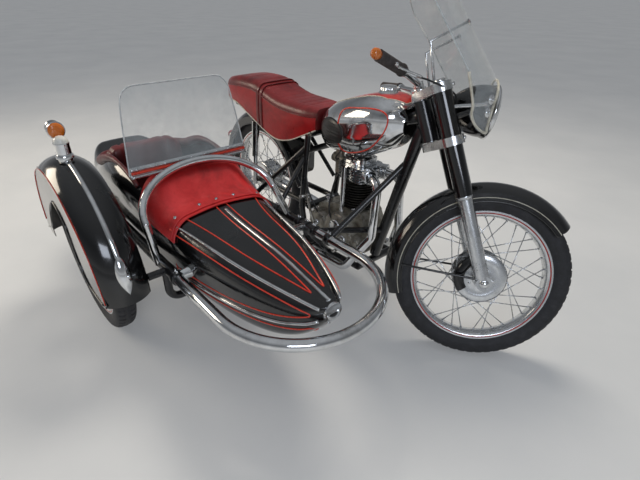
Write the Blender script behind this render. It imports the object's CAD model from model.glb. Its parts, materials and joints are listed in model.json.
import json
from math import cos, pi, radians, sin

import bpy
import numpy as np
from mathutils import Matrix, Vector
from mathutils.bvhtree import BVHTree


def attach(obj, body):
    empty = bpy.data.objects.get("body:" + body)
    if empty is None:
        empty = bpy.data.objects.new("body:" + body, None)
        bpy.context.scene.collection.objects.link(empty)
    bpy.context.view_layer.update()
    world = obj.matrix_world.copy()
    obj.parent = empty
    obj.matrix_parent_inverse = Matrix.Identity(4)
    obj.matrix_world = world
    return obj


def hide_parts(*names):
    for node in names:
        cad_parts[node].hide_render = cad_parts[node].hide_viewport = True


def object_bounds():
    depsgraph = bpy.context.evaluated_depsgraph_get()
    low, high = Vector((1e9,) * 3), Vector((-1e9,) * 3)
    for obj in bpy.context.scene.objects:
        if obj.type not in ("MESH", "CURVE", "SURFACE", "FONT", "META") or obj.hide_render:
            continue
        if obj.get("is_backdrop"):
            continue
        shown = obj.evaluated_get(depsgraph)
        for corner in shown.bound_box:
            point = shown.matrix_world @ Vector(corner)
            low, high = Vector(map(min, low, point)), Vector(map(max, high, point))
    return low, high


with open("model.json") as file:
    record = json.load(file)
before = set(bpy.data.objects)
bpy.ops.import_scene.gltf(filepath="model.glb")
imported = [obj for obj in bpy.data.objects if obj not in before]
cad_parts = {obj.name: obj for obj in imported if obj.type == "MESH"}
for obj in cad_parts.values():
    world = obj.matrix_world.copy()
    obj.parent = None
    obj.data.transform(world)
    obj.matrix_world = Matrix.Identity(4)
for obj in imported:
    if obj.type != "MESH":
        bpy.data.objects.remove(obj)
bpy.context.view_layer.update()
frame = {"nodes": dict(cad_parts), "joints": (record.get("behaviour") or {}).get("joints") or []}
joints = {joint["name"]: joint for joint in frame["joints"]}
print("frame loaded")

# Pieces are laid out in millimetres from the floor point under the rear axle, as the solids are
tyreRadius = 325
origin = np.array(joints["rear_wheel_spin"]["pos_m"], float) - (0, 0, tyreRadius / 1000)
steerPoint = np.array(joints["steering"]["pos_m"], float)
steerAxis = np.array(joints["steering"]["axis"], float)
steerAngle = radians(41)


def turnMatrix(axis, angle):
    # Rodrigues: R = I + sin(a) K + (1 - cos(a)) K K, with K the cross product matrix of the unit axis
    x, y, z = np.asarray(axis, float) / np.linalg.norm(axis)
    cross = np.array([[0, -z, y], [z, 0, -x], [-y, x, 0]])
    return np.eye(3) + sin(angle) * cross + (1 - cos(angle)) * cross @ cross


steerTurn = turnMatrix(steerAxis, steerAngle)


def placed(points, body):
    # Millimetres from the layout's origin to metres in the frame; what rides on the fork turns with it
    spots = np.asarray(points, float).reshape(-1, 3) / 1000 + origin
    if body in ("fork", "front_wheel"):
        spots = (spots - steerPoint) @ steerTurn.T + steerPoint
    return spots


def toLinear(code):
    # sRGB byte c to linear: c / 12.92 up to 0.04045, ((c + 0.055) / 1.055) ^ 2.4 above
    values = [int(code[i:i + 2], 16) / 255 for i in (1, 3, 5)]
    return tuple(c / 12.92 if c <= 0.04045 else ((c + 0.055) / 1.055) ** 2.4 for c in values) + (1.0,)


def fillInputs(tree, node, inputs):
    # Links each input that is given a socket, and sets the others to their values
    for key, value in inputs.items():
        if isinstance(value, bpy.types.NodeSocket):
            tree.links.new(value, node.inputs[key])
        else:
            node.inputs[key].default_value = value


def addNode(tree, kind, inputs=None, stops=(), **settings):
    # Makes a node with its settings and inputs, and gives a ramp its stops as hex colours or grey levels
    node = tree.nodes.new(kind)
    for key, value in settings.items():
        setattr(node, key, value)
    fillInputs(tree, node, inputs or {})
    stops = list(stops)
    if stops:
        elements = node.color_ramp.elements
        while len(elements) < len(stops):
            elements.new(0.5)
        for element, (place, colour) in zip(elements, stops):
            element.position = place
            element.color = toLinear(colour) if isinstance(colour, str) else (colour, colour, colour, 1)
    return node


finishes = {}


def startMaterial(name):
    # A new finish: its node tree, its shader, and the spot on the object that its textures follow
    material = bpy.data.materials.new(name)
    material.use_nodes = True
    tree = material.node_tree
    tree.nodes.clear()
    shader = addNode(tree, "ShaderNodeBsdfPrincipled")
    addNode(tree, "ShaderNodeOutputMaterial", {"Surface": shader.outputs[0]})
    finishes[name] = material
    return tree, shader, addNode(tree, "ShaderNodeTexCoord").outputs["Object"]


noise, ramp, bumps, span = "ShaderNodeTexNoise", "ShaderNodeValToRGB", "ShaderNodeBump", "ShaderNodeMapRange"

# Each hard finish: its colours from worn or dirty to clean, metal share, roughness where clean and where
# worn, blotches per metre, grain per metre, strength of the grain's bump, and clear coat
finishTable = [
    # Stoved enamel, flatted and polished: deep black that mirrors the floor
    ("glossBlackEnamel", ("#040405", "#070708", "#0d0e10"), 0, 0.10, 0.22, 9, 900, 0.015, 0.6),
    # Brushed enamel on tubes: duller, with grime in broad patches
    ("frameBlackEnamel", ("#060607", "#0c0c0e", "#191a1c"), 0, 0.20, 0.42, 22, 700, 0.05, 0.5),
    # Bright chromium plate over polished steel: a clear mirror, a little hazed
    ("chromePlate", ("#a3a19c", "#d9dadb", "#eef0f1"), 1, 0.05, 0.15, 14, 600, 0.02, 0),
    # Plate rubbed thin by boots: the nickel's warmer tone shows through
    ("wornChrome", ("#6f665c", "#b9b6b0", "#dcdcdb"), 1, 0.12, 0.32, 30, 500, 0.05, 0),
    # Buffed aluminium: softer and whiter than chrome
    ("polishedAlloy", ("#b0b2b3", "#d2d4d6", "#e9ebec"), 1, 0.17, 0.32, 26, 800, 0.03, 0),
    # Sand-cast aluminium: grey, grainy, stained with oil
    ("castAlloy", ("#6d675c", "#a09b90", "#c3bfb5"), 0.85, 0.38, 0.62, 34, 420, 0.22, 0),
    # Bare cast iron, browned by heat
    ("agedIron", ("#1a1815", "#2c2a26", "#45413a"), 0.6, 0.45, 0.7, 40, 350, 0.3, 0),
    # Zinc-plated steel of small fittings: grey and satin
    ("spokeSteel", ("#7b7975", "#a9a8a5", "#c9c9c8"), 1, 0.2, 0.35, 50, 600, 0.03, 0),
    # Signwriter's red under varnish
    ("pinstripeRed", ("#a51d10", "#d6361f", "#e8452a"), 0, 0.22, 0.35, 40, 600, 0.02, 0.6),
    # The same red without varnish, dulled by road dirt
    ("rimLineRed", ("#7d1710", "#a8251a", "#bd3324"), 0, 0.3, 0.45, 60, 500, 0.03, 0.3),
    # Sprayed red panel under clear lacquer
    ("tankTopRed", ("#8e160f", "#b82318", "#cb3a2b"), 0, 0.12, 0.25, 20, 800, 0.02, 0.9),
    # Old black grip rubber, browned and matt
    ("gripRubber", ("#2a2625", "#3d3735", "#4c4543"), 0, 0.5, 0.7, 40, 300, 0.3, 0),
    # Moulded pad rubber, kept black and faintly glossy
    ("padRubber", ("#101010", "#1b1b1b", "#2a2a29"), 0, 0.32, 0.5, 30, 500, 0.15, 0.1),
    # Extruded cream vinyl edging
    ("creamTrim", ("#a59f8e", "#cfcab9", "#e6e2d4"), 0, 0.35, 0.5, 50, 500, 0.06, 0.1),
    # Black plastic sheath on cables and small hoses
    ("cableSheath", ("#0c0c0c", "#151515", "#222222"), 0, 0.35, 0.5, 60, 600, 0.05, 0.1),
]
for name, colours, metal, smooth, rough, blotch, grain, bump, coat in finishTable:
    tree, shader, spot = startMaterial(name)
    broad = addNode(tree, noise, {"Vector": spot, "Scale": blotch, "Detail": 6, "Roughness": 0.6})
    small = addNode(tree, noise, {"Vector": spot, "Scale": grain, "Detail": 3, "Roughness": 0.55})
    tone = addNode(tree, ramp, {"Fac": broad.outputs["Fac"]}, zip((0.28, 0.46, 0.72), colours))
    gloss = addNode(tree, span, {"Value": broad.outputs["Fac"], "From Min": 0.3, "From Max": 0.7,
                                 "To Min": rough, "To Max": smooth})
    relief = addNode(tree, bumps, {"Height": small.outputs["Fac"], "Strength": bump, "Distance": 0.001})
    fillInputs(tree, shader, {"Base Color": tone.outputs["Color"], "Roughness": gloss.outputs["Result"],
                              "Normal": relief.outputs["Normal"], "Metallic": metal, "Coat Weight": coat,
                              "Coat Roughness": 0.04})

# Leather cloth: a pebbled grain about 1 mm across, soft creases, and darker tone where dirt settles.
# Each row: colours from dark to light, grain cells per metre, roughness, grain bump, crease bump
hideTable = [
    ("apronVinyl", ("#8c1514", "#bb2324", "#d0393a"), 900, 0.38, 0.30, 0.24),
    ("seatTopHide", ("#4a1012", "#6b1a1b", "#85282a"), 1100, 0.34, 0.22, 0.12),
    ("seatSkirtHide", ("#7c1013", "#a81a1c", "#bd2a2b"), 1100, 0.32, 0.22, 0.12),
    ("cockpitHide", ("#3a1011", "#561a1b", "#6b2526"), 1000, 0.42, 0.28, 0.18),
]
for name, colours, grain, rough, bump, crease in hideTable:
    tree, shader, spot = startMaterial(name)
    broad = addNode(tree, noise, {"Vector": spot, "Scale": 7, "Detail": 5, "Roughness": 0.6,
                                  "Distortion": 0.6})
    cells = addNode(tree, "ShaderNodeTexVoronoi", {"Vector": spot, "Scale": grain},
                    feature="DISTANCE_TO_EDGE")
    folds = addNode(tree, noise, {"Vector": spot, "Scale": 38, "Detail": 5, "Roughness": 0.65,
                                  "Distortion": 1.2})
    tone = addNode(tree, ramp, {"Fac": broad.outputs["Fac"]}, zip((0.3, 0.5, 0.75), colours))
    shade = addNode(tree, ramp, {"Fac": folds.outputs["Fac"]}, [(0.2, 0.72), (0.55, 1.0)])
    # Inputs 0, 6 and 7 of a colour mix are its factor and its two colours, and output 2 is the result
    soiled = addNode(tree, "ShaderNodeMix", {0: 0.55, 6: tone.outputs["Color"], 7: shade.outputs["Color"]},
                     data_type="RGBA", blend_type="MULTIPLY")
    gloss = addNode(tree, span, {"Value": folds.outputs["Fac"], "From Min": 0.3, "From Max": 0.7,
                                 "To Min": rough + 0.12, "To Max": rough - 0.06})
    pebble = addNode(tree, bumps, {"Height": cells.outputs["Distance"], "Strength": bump, "Distance": 0.0006})
    relief = addNode(tree, bumps, {"Height": folds.outputs["Fac"], "Strength": crease, "Distance": 0.004,
                                   "Normal": pebble.outputs["Normal"]})
    fillInputs(tree, shader, {"Base Color": soiled.outputs[2], "Roughness": gloss.outputs["Result"],
                              "Normal": relief.outputs["Normal"], "Coat Weight": 0.12,
                              "Coat Roughness": 0.25})

# Vulcanised tyre rubber: near black, greyed by dust in blotches 3 cm across
tree, shader, spot = startMaterial("tyreRubber")
dust = addNode(tree, noise, {"Vector": spot, "Scale": 30, "Detail": 6, "Roughness": 0.7})
small = addNode(tree, noise, {"Vector": spot, "Scale": 700, "Detail": 3, "Roughness": 0.55})
tone = addNode(tree, ramp, {"Fac": dust.outputs["Fac"]},
               [(0.3, "#191919"), (0.55, "#26262a"), (0.8, "#3b3a3a")])
relief = addNode(tree, bumps, {"Height": small.outputs["Fac"], "Strength": 0.25, "Distance": 0.001})
fillInputs(tree, shader, {"Base Color": tone.outputs["Color"], "Normal": relief.outputs["Normal"],
                          "Roughness": 0.62})

# Clear acrylic sheet: a little hazed and scuffed in broad patches
tree, shader, spot = startMaterial("clearAcrylic")
haze = addNode(tree, noise, {"Vector": spot, "Scale": 12, "Detail": 5, "Roughness": 0.6})
veil = addNode(tree, span, {"Value": haze.outputs["Fac"], "From Min": 0.3, "From Max": 0.75, "To Min": 0.14,
                            "To Max": 0.30})
fillInputs(tree, shader, {"Alpha": veil.outputs["Result"], "Base Color": toLinear("#cfd6d8"),
                          "Roughness": 0.06, "Coat Weight": 1.0, "Coat Roughness": 0.02})

# The sheet's sawn edge gathers light, so it shows as a pale line
tree, shader, spot = startMaterial("acrylicEdge")
haze = addNode(tree, noise, {"Vector": spot, "Scale": 60, "Detail": 4, "Roughness": 0.55})
tone = addNode(tree, ramp, {"Fac": haze.outputs["Fac"]}, [(0.3, "#aeb6b8"), (0.7, "#eef2f2")])
fillInputs(tree, shader, {"Base Color": tone.outputs["Color"], "Roughness": 0.2, "Alpha": 0.85})

# Moulded plastic and glass lenses: fine level ribs, dark in their roots and bright on their crowns
lensTable = [("amberLens", "#b2470a", "#f08a1e"), ("whiteLens", "#c9c8c0", "#f7f6ef"),
             ("redLens", "#5d0a09", "#b01512"), ("headlampGlass", "#8d9496", "#dfe6e8")]
for name, deep, bright in lensTable:
    tree, shader, spot = startMaterial(name)
    ribs = addNode(tree, "ShaderNodeTexWave", {"Vector": spot, "Scale": 160, "Distortion": 0.4},
                   bands_direction="Z")
    tone = addNode(tree, ramp, {"Fac": ribs.outputs["Fac"]}, [(0.2, deep), (0.8, bright)])
    relief = addNode(tree, bumps, {"Height": ribs.outputs["Fac"], "Strength": 0.3, "Distance": 0.001})
    fillInputs(tree, shader, {"Base Color": tone.outputs["Color"], "Normal": relief.outputs["Normal"],
                              "Roughness": 0.12, "Coat Weight": 0.8})
print("finishes made")


def gridFaces(rows, columns, wrapRows=False, wrapColumns=False):
    # Quads between neighbours on a grid of points, closed round its rows or columns where they wrap
    r = np.arange(rows if wrapRows else rows - 1)
    c = np.arange(columns if wrapColumns else columns - 1)
    a, b = np.meshgrid(r, c, indexing="ij")
    a, b = a.ravel(), b.ravel()
    nextA, nextB = (a + 1) % rows, (b + 1) % columns
    corners = [a * columns + b, a * columns + nextB, nextA * columns + nextB, nextA * columns + b]
    return np.stack(corners, 1)


def surface(rows, wrapRows=False, wrapColumns=False):
    # A shape, which is points and faces, from rows of points
    rows = np.asarray(rows, float)
    return rows.reshape(-1, 3), gridFaces(len(rows), len(rows[0]), wrapRows, wrapColumns)


def joined(parts):
    # Several shapes as one: points end to end, each shape's faces moved on by the points before it
    points, faces, start = [], [], 0
    for somePoints, someFaces in parts:
        somePoints = np.asarray(somePoints, float).reshape(-1, 3)
        points.append(somePoints)
        faces.append(np.asarray(someFaces) + start)
        start += len(somePoints)
    return np.concatenate(points), np.concatenate(faces)


def addPiece(name, shape, finish, body="chassis", stands=()):
    # One smooth mesh of a shape or a list of shapes, in one finish, riding on a body and standing for solids
    points, faces = joined(shape) if isinstance(shape, list) else shape
    mesh = bpy.data.meshes.new(name)
    spots = placed(points, body)
    faces = np.asarray(faces)
    mesh.vertices.add(len(spots))
    mesh.vertices.foreach_set("co", spots.astype(np.float32).ravel())
    mesh.loops.add(faces.size)
    mesh.loops.foreach_set("vertex_index", faces.astype(np.int32).ravel())
    mesh.polygons.add(len(faces))
    mesh.polygons.foreach_set("loop_start", np.arange(len(faces), dtype=np.int32) * faces.shape[1])
    mesh.polygons.foreach_set("use_smooth", np.full(len(faces), True))
    mesh.update(calc_edges=True)
    mesh.materials.append(finishes[finish])
    piece = bpy.data.objects.new(name, mesh)
    bpy.context.scene.collection.objects.link(piece)
    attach(piece, body)
    if stands:
        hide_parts(*stands)
    return piece


def smoothPath(points, count, closed=False):
    # Catmull-Rom: P = 0.5 (2 P1 + (P2 - P0) t + (2 P0 - 5 P1 + 4 P2 - P3) t^2 + (3 P1 - P0 - 3 P2 + P3) t^3)
    points = np.asarray(points, float)
    n = len(points)
    if closed:
        padded = np.concatenate([points[-1:], points, points[:2]])
        spans = n
    else:
        padded = np.concatenate([[2 * points[0] - points[1]], points, [2 * points[-1] - points[-2]]])
        spans = n - 1
    s = np.linspace(0, spans, count, endpoint=not closed)
    i = np.minimum(s.astype(int), spans - 1)
    t = (s - i)[:, None]
    a, b, c, d = padded[i], padded[i + 1], padded[i + 2], padded[i + 3]
    square, cube = 2 * a - 5 * b + 4 * c - d, 3 * b - a - 3 * c + d
    return 0.5 * (2 * b + (c - a) * t + square * t ** 2 + cube * t ** 3)


def sweepTube(path, radius, sides=12, closed=False, flatten=1.0, ends=True):
    # A ring of points round each path point, in a frame carried along the path without twist
    path = np.asarray(path, float)
    n = len(path)
    tangent = np.roll(path, -1, 0) - np.roll(path, 1, 0) if closed else np.gradient(path, axis=0)
    tangent /= np.linalg.norm(tangent, axis=1)[:, None]
    start = np.array([0, 0, 1.0]) if abs(tangent[0][2]) < 0.9 else np.array([1.0, 0, 0])
    normal = start - tangent[0] * (start @ tangent[0])
    rings = []
    radii = np.broadcast_to(np.asarray(radius, float), (n,))
    angles = np.arange(sides) * 2 * pi / sides
    for i in range(n):
        normal = normal - tangent[i] * (normal @ tangent[i])
        normal /= np.linalg.norm(normal)
        side = np.cross(tangent[i], normal)
        ring = np.outer(np.cos(angles), normal) * flatten + np.outer(np.sin(angles), side)
        rings.append(path[i] + radii[i] * ring)
    points = np.concatenate(rings)
    faces = gridFaces(n, sides, closed, True)
    if ends and not closed:
        # Close both ends with a fan round a middle point
        first, last = len(points), len(points) + 1
        points = np.concatenate([points, [path[0], path[-1]]])
        k = np.arange(sides)
        fan = np.stack([(k + 1) % sides, k, np.full(sides, first), np.full(sides, first)], 1)
        cap = np.stack([(n - 1) * sides + k, (n - 1) * sides + (k + 1) % sides, np.full(sides, last),
                        np.full(sides, last)], 1)
        faces = np.concatenate([faces, fan, cap])
    return points, faces


def lathe(profile, centre, axis=(0, 1, 0), steps=64, start=0.0, arc=2 * pi):
    # Each (along, radius) turns about the axis: centre + along * axis + radius * (cos a * u + sin a * v)
    axis = np.asarray(axis, float) / np.linalg.norm(axis)
    u = np.cross(axis, (0, 0, 1.0))
    u = np.array([1.0, 0, 0]) if np.linalg.norm(u) < 1e-6 else u / np.linalg.norm(u)
    v = np.cross(axis, u)
    whole = abs(arc - 2 * pi) < 1e-6
    angles = start + np.linspace(0, arc, steps, endpoint=not whole)
    profile = np.asarray(profile, float)
    out = (np.cos(angles)[:, None, None] * u + np.sin(angles)[:, None, None] * v) * profile[None, :, 1, None]
    points = np.asarray(centre, float) + out + profile[None, :, 0, None] * axis
    return surface(points, whole)


def hexHead(spot, axis, size, height):
    # Six-sided head with its top edge broken; size is the radius over the corners
    profile = [(0, size), (height * 0.8, size), (height, size * 0.86), (height, 0.01)]
    return lathe(profile, spot, axis, 6)


def roundHead(spot, axis, radius, height):
    # Dome: quarter ellipse from the rim to the crown
    turns = np.linspace(0, pi / 2, 6)
    return lathe([(height * sin(a), max(radius * cos(a), 0.01)) for a in turns], spot, axis, 16)


def rounded(wave, power):
    # A cosine or sine wave squared off: sign(c) |c|^p, which turns an ellipse into a superellipse
    return np.sign(wave) * np.abs(wave) ** power


# Camera: at the photograph's place and turn, found from the wheels, the hoop and the tank
view = {"place": (1917.0, -1355.4, 1259.7), "yaw": 139.9, "pitch": 33.3, "roll": 0.4,
        "focalPixels": 422.4, "photoWidth": 640, "sensor": 36, "shift": (0.028, 0.0323)}
yaw, pitch, roll = (radians(view[key]) for key in ("yaw", "pitch", "roll"))
ahead = Vector((cos(pitch) * cos(yaw), cos(pitch) * sin(yaw), -sin(pitch)))
right = Vector((sin(yaw), -cos(yaw), 0))
above = right.cross(ahead)
right, above = right * cos(roll) + above * sin(roll), above * cos(roll) - right * sin(roll)
cameraData = bpy.data.cameras.new("photoCamera")
cameraData.sensor_width = view["sensor"]
cameraData.lens = view["focalPixels"] / view["photoWidth"] * view["sensor"]
cameraData.shift_x, cameraData.shift_y = view["shift"]
cameraData.clip_start, cameraData.clip_end = 0.05, 60
camera = bpy.data.objects.new("photoCamera", cameraData)
bpy.context.scene.collection.objects.link(camera)
camera.matrix_world = Matrix((
    (right.x, above.x, -ahead.x, view["place"][0] / 1000 + origin[0]),
    (right.y, above.y, -ahead.y, view["place"][1] / 1000 + origin[1]),
    (right.z, above.z, -ahead.z, view["place"][2] / 1000 + origin[2]),
    (0, 0, 0, 1)))
bpy.context.scene.camera = camera
bpy.context.scene.view_settings.view_transform = "Standard"

# Soft studio light: a pale dome that is brighter above, and three large soft panels. The eye itself sees one
# pale backdrop in place of the dome
world = bpy.data.worlds.new("studio")
bpy.context.scene.world = world
world.use_nodes = True
tree = world.node_tree
tree.nodes.clear()
where = addNode(tree, "ShaderNodeTexCoord")
parts = addNode(tree, "ShaderNodeSeparateXYZ", {"Vector": where.outputs["Generated"]})
height = addNode(tree, span, {"Value": parts.outputs["Z"], "From Min": -0.2, "From Max": 0.9})
dome = addNode(tree, ramp, {"Fac": height.outputs["Result"]},
               [(0.0, "#8a8b8c"), (0.18, "#c4c6c8"), (0.30, "#8f9194"), (0.55, "#6d7074"), (1.0, "#a9acb0")])
background = addNode(tree, "ShaderNodeBackground", {"Color": dome.outputs["Color"], "Strength": 0.85})
backdrop = addNode(tree, "ShaderNodeBackground", {"Color": toLinear("#d3d5d7"), "Strength": 1.0})
rays = addNode(tree, "ShaderNodeLightPath")
seen = addNode(tree, "ShaderNodeMixShader", {0: rays.outputs["Is Camera Ray"], 1: background.outputs[0],
                                             2: backdrop.outputs[0]})
addNode(tree, "ShaderNodeOutputWorld", {"Surface": seen.outputs[0]})
# Each panel: place and width in metres, watts, tint; it is 0.6 as high as it is wide. The sky panel lights
# without showing in the chrome
lampTable = [
    ("skyPanel", (-0.9, 1.6, 3.6), 2.0, 95, "#fff6e8"),
    ("sidePanel", (-3.2, -2.6, 2.2), 2.2, 60, "#fff1dc"),
    ("frontPanel", (3.6, -2.2, 2.4), 1.8, 45, "#e9f1ff"),
]
lampAim = Vector((0, 0, 0.4))
for name, spot, size, power, tint in lampTable:
    light = bpy.data.lights.new(name, "AREA")
    light.shape = "RECTANGLE"
    light.size, light.size_y = size, size * 0.6
    light.energy = power
    light.color = toLinear(tint)[:3]
    lamp = bpy.data.objects.new(name, light)
    lamp.location = spot
    lamp.rotation_mode = "QUATERNION"
    lamp.visible_glossy = name != "skyPanel"
    lamp.rotation_quaternion = (lampAim - Vector(spot)).to_track_quat("-Z", "Y")
    bpy.context.scene.collection.objects.link(lamp)

# Floor: one plain pale sheet of painted concrete, wide enough to fill the view
tree, shader, spot = startMaterial("paleFloor")
mottle = addNode(tree, noise, {"Vector": spot, "Scale": 1.2, "Detail": 5, "Roughness": 0.55})
tone = addNode(tree, ramp, {"Fac": mottle.outputs["Fac"]}, [(0.3, "#bdbfc0"), (0.7, "#cbcccc")])
# What the eye sees of it, straight, mirrored or through glass, is lifted a little; the shadow stays
rays = addNode(tree, "ShaderNodeLightPath")
direct = addNode(tree, "ShaderNodeMath", {0: rays.outputs["Is Camera Ray"], 1: rays.outputs["Is Glossy Ray"]},
                 operation="MAXIMUM")
seen = addNode(tree, "ShaderNodeMath", {0: direct.outputs[0], 1: rays.outputs["Is Transmission Ray"]},
               operation="MAXIMUM")
lift = addNode(tree, "ShaderNodeMath", {0: seen.outputs[0], 1: 0.16}, operation="MULTIPLY")
fillInputs(tree, shader, {"Base Color": tone.outputs["Color"], "Roughness": 0.55,
                          "Emission Strength": lift.outputs[0], "Emission Color": toLinear("#e8e9ea")})
floorShape = {"reach": 90, "level": -0.0005}
floorMesh = bpy.data.meshes.new("floor")
floorCorners = [(x * floorShape["reach"], y * floorShape["reach"], floorShape["level"])
                for x, y in ((-1, -1), (1, -1), (1, 1), (-1, 1))]
floorMesh.from_pydata(floorCorners, [], [(0, 1, 2, 3)])
floorMesh.materials.append(finishes["paleFloor"])
floor = bpy.data.objects.new("floor", floorMesh)
bpy.context.scene.collection.objects.link(floor)
floor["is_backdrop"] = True
print("camera, light and floor made")

# What each solid is finished in
nodeFinish = {
    "glossBlackEnamel": ["sidecar_body", "front_mudguard", "rear_mudguard", "side_mudguard", "headlamp",
                         "fork_covers", "tool_box"],
    "frameBlackEnamel": ["frame_head", "frame_spine", "frame_cradle", "frame_subframe", "swing_arm",
                         "centre_stand", "chassis_tubes", "wheel_carrier", "struts", "foot_controls"],
    "chromePlate": ["fuel_tank", "filler_cap", "chassis_hoop", "grab_arch", "handlebar", "exhaust",
                    "nose_ring", "mudguard_lamps", "rear_shocks", "pushrod_tube", "body_mounts"],
    "polishedAlloy": ["fork_sliders", "fork_yokes", "screen_bracket", "screen_base", "front_wheel",
                      "rear_wheel", "sidecar_wheel", "cylinder_head"],
    "castAlloy": ["crankcase", "carburettor"],
    "agedIron": ["barrel"],
    "tyreRubber": ["front_tyre", "rear_tyre", "sidecar_tyre"],
    "gripRubber": ["bar_controls"],
    "padRubber": ["knee_pads"],
    "clearAcrylic": ["windscreen", "bar_screen"],
    "apronVinyl": ["apron"],
    "seatTopHide": ["dual_seat"],
    "cockpitHide": ["sidecar_seat"],
}
for finish, names in nodeFinish.items():
    for name in names:
        node = frame["nodes"][name]
        node.data.materials.clear()
        node.data.materials.append(finishes[finish])

# Wheels: axle centre, body, hub radius and half width, as the solids have them
frontAxle, rearAxle, sidecarAxle = (1340, 0, 319.31), (0, 0, 325), (246, -1065, 325)
wheelTable = [
    {"name": "front", "centre": frontAxle, "body": "front_wheel", "hub": 96, "half": 54},
    {"name": "rear", "centre": rearAxle, "body": "rear_wheel", "hub": 84, "half": 50},
    {"name": "sidecar", "centre": sidecarAxle, "body": "sidecar_wheel", "hub": 84, "half": 50},
]
# The tyre's section is (across, radius). Its tread lies within the shoulder; block, slot and steps count rows
tyreShape = {"section": [(-34, 256.4), (-40, 272), (-42, 292), (-37.5, 309), (-25, 320), (0, 324.6),
                         (25, 320), (37.5, 309), (42, 292), (40, 272), (34, 256.4)],
             "columns": 57, "steps": 480, "block": 8, "slot": 2, "groove": 4.2, "rib": 9, "ringHalf": 1.9,
             "shoulder": 33, "treadFrom": 305, "wallRing": 279, "wallHalf": 2.0, "wallRise": 0.6}
rimShape = [(-33, 256), (-31.5, 257.4), (-29, 256.8), (-28, 252), (-27, 243), (-14, 235.4), (14, 235.4),
            (27, 243), (28, 252), (29, 256.8), (31.5, 257.4), (33, 256), (33, 250), (31, 240), (24, 235),
            (16, 231.6), (-16, 231.6), (-24, 235), (-31, 240), (-33, 250)]
rimLine = [(32.7, 250.5), (33.2, 249), (32.6, 246), (31.9, 245)]
spokeShape = {"count": 36, "radius": 1.9, "cross": radians(62), "foot": 5, "inset": 13, "stagger": 2.4,
              "rim": 232.5, "rimSide": 7, "nipple": 3.4, "nippleNeck": 2.72, "nippleLength": 15}
hubShape = {"ribs": 14, "deep": 9, "shallow": 4, "cheek": 18, "stud": 44}


def treadTyre(centre):
    # Rows run round the wheel and columns across it: radius = section radius - groove depth where one runs.
    # Two rings run beside the middle rib, and cross slots every block, half a block apart left and right
    across = smoothPath(tyreShape["section"], tyreShape["columns"])
    side, radius = across[:, 0], across[:, 1]
    turn = np.arange(tyreShape["steps"])
    tread = (np.abs(side) < tyreShape["shoulder"]) & (radius > tyreShape["treadFrom"])
    ring = tread & (np.abs(np.abs(side) - tyreShape["rib"]) < tyreShape["ringHalf"])
    stagger = np.where(side > 0, tyreShape["block"] // 2, 0)
    phase = (turn[:, None] + stagger[None, :]) % tyreShape["block"]
    slot = tread[None, :] & (np.abs(side)[None, :] > tyreShape["rib"]) & (phase < tyreShape["slot"])
    rise = radius[None, :] - np.where(slot | ring[None, :], tyreShape["groove"], 0.0)
    # One raised ring on each wall
    proud = np.abs(radius - tyreShape["wallRing"]) < tyreShape["wallHalf"]
    wall = side + np.sign(side) * np.where(proud, tyreShape["wallRise"], 0.0)
    angle = 2 * pi * turn / tyreShape["steps"]
    points = np.stack([centre[0] + rise * np.cos(angle)[:, None],
                       centre[1] + np.broadcast_to(wall, rise.shape),
                       centre[2] + rise * np.sin(angle)[:, None]], -1)
    return surface(points, True)


def spokeSet(wheel):
    # Spoke n runs from hub angle a + lean * cross to rim angle a = 2 pi n / count, in crossing pairs
    centre = np.array(wheel["centre"], float)
    foot = wheel["hub"] - spokeShape["foot"]
    wires, nipples = [], []
    for index in range(spokeShape["count"]):
        side = 1 if index % 2 else -1
        lean = 1 if index % 4 < 2 else -1
        outer = 2 * pi * index / spokeShape["count"]
        inner = outer + lean * spokeShape["cross"]
        flange = side * (wheel["half"] - spokeShape["inset"] + lean * spokeShape["stagger"])
        low = centre + (foot * cos(inner), flange, foot * sin(inner))
        tip = centre + (spokeShape["rim"] * cos(outer), side * spokeShape["rimSide"],
                        spokeShape["rim"] * sin(outer))
        wires.append(sweepTube([low, tip], spokeShape["radius"], 8))
        neck = tip + (low - tip) / np.linalg.norm(low - tip) * spokeShape["nippleLength"]
        nipples.append(sweepTube([neck, tip], [spokeShape["nippleNeck"], spokeShape["nipple"]], 8))
    return wires + nipples


def hubDrum(half, hub):
    # Brake drum with cooling ribs between two polished flanges, the same from either side
    face = [(-half, 11), (-half, 26), (-half + 3, 30), (-half + 3, hub - 30), (-half + 1, hub - 24),
            (-half + 7, hub - 6), (-half + 9, hub), (-half + 16, hub), (-half + 18, hub - 7)]
    pitch = 2 * (half - hubShape["cheek"]) / hubShape["ribs"]
    ribs = [(-half + hubShape["cheek"] + pitch * (k + 0.5), hub - (hubShape["shallow"] if k % 2 else
                                                                   hubShape["deep"]))
            for k in range(hubShape["ribs"])]
    return face + ribs + [(-side, radius) for side, radius in reversed(face)]


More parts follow.
